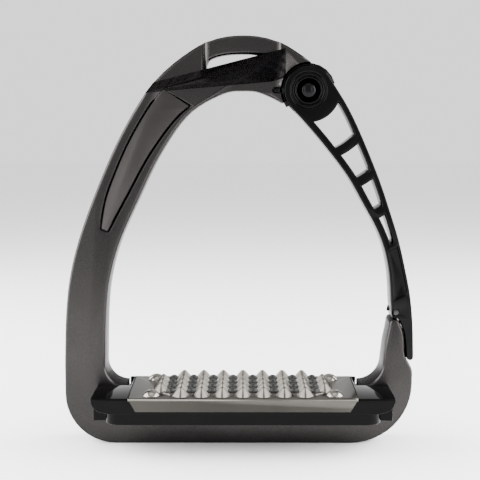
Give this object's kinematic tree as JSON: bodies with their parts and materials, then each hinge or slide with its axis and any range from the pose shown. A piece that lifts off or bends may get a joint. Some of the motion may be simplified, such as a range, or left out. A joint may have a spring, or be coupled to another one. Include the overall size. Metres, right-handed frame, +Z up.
{
  "type": "safety stirrup iron",
  "caption": "Safety stirrup iron: arched aluminium frame with a leather eye, toothed steel tread on a black footbed, and a sprung release arm that swings outward.",
  "frame": {"origin": "middle of the flat underside of the base rail, in the frame's mid plane", "axes": "+Z up towards the leather eye, +X towards the release arm, +Y towards the rider's toe; the tread overhangs towards -Y"},
  "size_m": [0.154, 0.0435, 0.1794],
  "materials": {
    "dark_aluminium": "polished dark anodised, bright chamfered edges",
    "inlay": "brushed dark anodised",
    "black_polymer": "gloss black",
    "footbed_polymer": "satin black",
    "grip_rubber": "dark grey rubber",
    "stainless": "pressed stainless sheet",
    "screw_steel": "polished stainless",
    "black_steel": "blackened",
    "spring_steel": "drawn wire",
    "pin_steel": "ground",
    "bronze": "sintered bronze",
    "brass": "machined",
    "washer_polymer": "white bearing polymer"
  },
  "bodies": {
    "iron": {"frame": "dark_aluminium", "side_inlay": "inlay", "spring_anchor": "black_steel", "pivot_bush": "bronze", "thrust_washer_front": "washer_polymer", "thrust_washer_rear": "washer_polymer", "torsion_spring": "spring_steel", "footbed": "footbed_polymer", "grip_pad": "grip_rubber", "tread_plate": "stainless", "tread_screw_front_left": "screw_steel", "tread_screw_front_right": "screw_steel", "tread_screw_rear_left": "screw_steel", "tread_screw_rear_right": "screw_steel", "tread_insert_front_left": "brass", "tread_insert_front_right": "brass", "tread_insert_rear_left": "brass", "tread_insert_rear_right": "brass", "rail_screw_left": "pin_steel", "rail_screw_right": "pin_steel", "rail_insert_left": "brass", "rail_insert_right": "brass"},
    "arm": {"release_arm": "black_polymer", "pivot_pin": "black_steel", "hub_cap_front": "black_polymer", "hub_cap_rear": "black_polymer", "retaining_ring_front": "black_steel", "retaining_ring_rear": "black_steel", "strike_pin": "pin_steel"}
  },
  "joints": [
    {"name": "arm_swing", "type": "hinge", "parent": "iron", "child": "arm", "pos_m": [0.0284, 0, 0.1558], "axis": [0, -1, 0], "range_deg": [0, 60], "stiffness_Nm_per_rad": 0.3, "springref_deg": -57.3, "deforming": ["torsion_spring"]}
  ]
}
